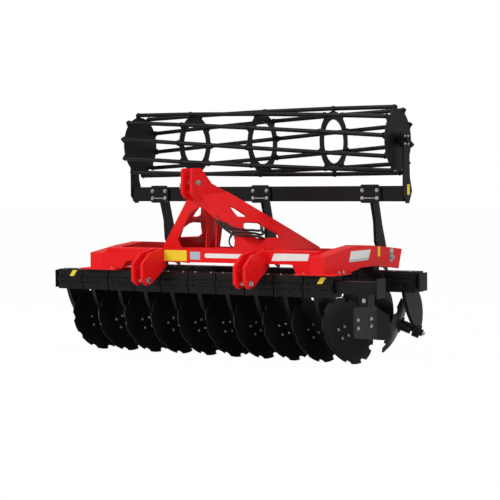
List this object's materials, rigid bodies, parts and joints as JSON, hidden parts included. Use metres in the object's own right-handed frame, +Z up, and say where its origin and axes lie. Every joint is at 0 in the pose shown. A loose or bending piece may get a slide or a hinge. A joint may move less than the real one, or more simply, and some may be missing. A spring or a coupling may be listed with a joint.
{
  "type": "disc cultivator",
  "caption": "Three point hitch disc cultivator: two rows of notched dished discs under a red frame, with a mast and a cage roller folded up over it.",
  "frame": {"origin": "on the floor, below the middle of the whole machine in its parked pose", "axes": "+X across the machine to the right as seen from the tractor side, +Y to the rear, +Z up"},
  "size_m": [2.88, 1.561, 1.9278],
  "materials": {
    "red_paint": "glossy enamel",
    "black_paint": "satin enamel",
    "disc_steel": "satin black paint on hardened boron steel",
    "zinc_steel": "zinc plated"
  },
  "bodies": {
    "frame": {"deflector_post": "black_paint", "fold_pins": "zinc_steel", "front_arms": "black_paint", "front_clamps": "black_paint", "front_crossbeam": "red_paint", "front_spindles": "black_paint", "front_toolbar": "black_paint", "lower_hitch_ears": "red_paint", "lower_hitch_pins": "zinc_steel", "mast_front_plate": "red_paint", "mast_ribs": "red_paint", "mast_stay_left": "red_paint", "mast_stay_right": "red_paint", "middle_fork": "red_paint", "rear_arms": "black_paint", "rear_clamps": "black_paint", "rear_crossbeam": "red_paint", "rear_spindles": "black_paint", "rear_toolbar": "black_paint", "side_beams": "red_paint", "side_deflector": "black_paint", "toolbar_end_plates": "black_paint", "top_link_ears": "red_paint", "top_link_pin": "zinc_steel", "wing_left": "red_paint", "wing_right": "red_paint", "wing_seats": "black_paint"},
    "roller_frame": {"roller_arms": "black_paint", "roller_beam": "black_paint", "roller_bearings": "black_paint", "roller_clamp_plates": "black_paint", "roller_side_plates": "black_paint"},
    "roller": {"roller_bars": "black_paint", "roller_plates": "black_paint", "roller_shaft_stubs": "black_paint"},
    "front_disc_01": {"front_disc_01": "disc_steel"},
    "front_disc_02": {"front_disc_02": "disc_steel"},
    "front_disc_03": {"front_disc_03": "disc_steel"},
    "front_disc_04": {"front_disc_04": "disc_steel"},
    "front_disc_05": {"front_disc_05": "disc_steel"},
    "front_disc_06": {"front_disc_06": "disc_steel"},
    "front_disc_07": {"front_disc_07": "disc_steel"},
    "front_disc_08": {"front_disc_08": "disc_steel"},
    "front_disc_09": {"front_disc_09": "disc_steel"},
    "front_disc_10": {"front_disc_10": "disc_steel"},
    "rear_disc_01": {"rear_disc_01": "disc_steel"},
    "rear_disc_02": {"rear_disc_02": "disc_steel"},
    "rear_disc_03": {"rear_disc_03": "disc_steel"},
    "rear_disc_04": {"rear_disc_04": "disc_steel"},
    "rear_disc_05": {"rear_disc_05": "disc_steel"},
    "rear_disc_06": {"rear_disc_06": "disc_steel"},
    "rear_disc_07": {"rear_disc_07": "disc_steel"},
    "rear_disc_08": {"rear_disc_08": "disc_steel"},
    "rear_disc_09": {"rear_disc_09": "disc_steel"},
    "rear_disc_10": {"rear_disc_10": "disc_steel"}
  },
  "joints": [
    {"name": "front_disc_01_turn", "type": "hinge", "parent": "frame", "child": "front_disc_01", "pos_m": [-1.1875, -0.3105, 0.22088], "axis": [0.8949, -0.2787, 0.3486], "continuous": true},
    {"name": "front_disc_02_turn", "type": "hinge", "parent": "frame", "child": "front_disc_02", "pos_m": [-0.9375, -0.3105, 0.22088], "axis": [0.8949, -0.2787, 0.3486], "continuous": true},
    {"name": "front_disc_03_turn", "type": "hinge", "parent": "frame", "child": "front_disc_03", "pos_m": [-0.6875, -0.3105, 0.22088], "axis": [0.8949, -0.2787, 0.3486], "continuous": true},
    {"name": "front_disc_04_turn", "type": "hinge", "parent": "frame", "child": "front_disc_04", "pos_m": [-0.4375, -0.3105, 0.22088], "axis": [0.8949, -0.2787, 0.3486], "continuous": true},
    {"name": "front_disc_05_turn", "type": "hinge", "parent": "frame", "child": "front_disc_05", "pos_m": [-0.1875, -0.3105, 0.22088], "axis": [0.8949, -0.2787, 0.3486], "continuous": true},
    {"name": "front_disc_06_turn", "type": "hinge", "parent": "frame", "child": "front_disc_06", "pos_m": [0.0625, -0.3105, 0.22088], "axis": [0.8949, -0.2787, 0.3486], "continuous": true},
    {"name": "front_disc_07_turn", "type": "hinge", "parent": "frame", "child": "front_disc_07", "pos_m": [0.3125, -0.3105, 0.22088], "axis": [0.8949, -0.2787, 0.3486], "continuous": true},
    {"name": "front_disc_08_turn", "type": "hinge", "parent": "frame", "child": "front_disc_08", "pos_m": [0.5625, -0.3105, 0.22088], "axis": [0.8949, -0.2787, 0.3486], "continuous": true},
    {"name": "front_disc_09_turn", "type": "hinge", "parent": "frame", "child": "front_disc_09", "pos_m": [0.8125, -0.3105, 0.22088], "axis": [0.8949, -0.2787, 0.3486], "continuous": true},
    {"name": "front_disc_10_turn", "type": "hinge", "parent": "frame", "child": "front_disc_10", "pos_m": [1.0625, -0.3105, 0.22088], "axis": [0.8949, -0.2787, 0.3486], "continuous": true},
    {"name": "rear_disc_01_turn", "type": "hinge", "parent": "frame", "child": "rear_disc_01", "pos_m": [1.1875, 0.4375, 0.22088], "axis": [-0.8949, -0.2787, 0.3486], "continuous": true},
    {"name": "rear_disc_02_turn", "type": "hinge", "parent": "frame", "child": "rear_disc_02", "pos_m": [0.9375, 0.4375, 0.22088], "axis": [-0.8949, -0.2787, 0.3486], "continuous": true},
    {"name": "rear_disc_03_turn", "type": "hinge", "parent": "frame", "child": "rear_disc_03", "pos_m": [0.6875, 0.4375, 0.22088], "axis": [-0.8949, -0.2787, 0.3486], "continuous": true},
    {"name": "rear_disc_04_turn", "type": "hinge", "parent": "frame", "child": "rear_disc_04", "pos_m": [0.4375, 0.4375, 0.22088], "axis": [-0.8949, -0.2787, 0.3486], "continuous": true},
    {"name": "rear_disc_05_turn", "type": "hinge", "parent": "frame", "child": "rear_disc_05", "pos_m": [0.1875, 0.4375, 0.22088], "axis": [-0.8949, -0.2787, 0.3486], "continuous": true},
    {"name": "rear_disc_06_turn", "type": "hinge", "parent": "frame", "child": "rear_disc_06", "pos_m": [-0.0625, 0.4375, 0.22088], "axis": [-0.8949, -0.2787, 0.3486], "continuous": true},
    {"name": "rear_disc_07_turn", "type": "hinge", "parent": "frame", "child": "rear_disc_07", "pos_m": [-0.3125, 0.4375, 0.22088], "axis": [-0.8949, -0.2787, 0.3486], "continuous": true},
    {"name": "rear_disc_08_turn", "type": "hinge", "parent": "frame", "child": "rear_disc_08", "pos_m": [-0.5625, 0.4375, 0.22088], "axis": [-0.8949, -0.2787, 0.3486], "continuous": true},
    {"name": "rear_disc_09_turn", "type": "hinge", "parent": "frame", "child": "rear_disc_09", "pos_m": [-0.8125, 0.4375, 0.22088], "axis": [-0.8949, -0.2787, 0.3486], "continuous": true},
    {"name": "rear_disc_10_turn", "type": "hinge", "parent": "frame", "child": "rear_disc_10", "pos_m": [-1.0625, 0.4375, 0.22088], "axis": [-0.8949, -0.2787, 0.3486], "continuous": true},
    {"name": "roller_fold", "type": "hinge", "parent": "frame", "child": "roller_frame", "pos_m": [0, 0.5745, 0.74], "axis": [-1, 0, 0], "range_deg": [0, 132]},
    {"name": "roller_turn", "type": "hinge", "parent": "roller_frame", "child": "roller", "pos_m": [0, 0.3695, 1.653], "axis": [1, 0, 0], "continuous": true}
  ]
}
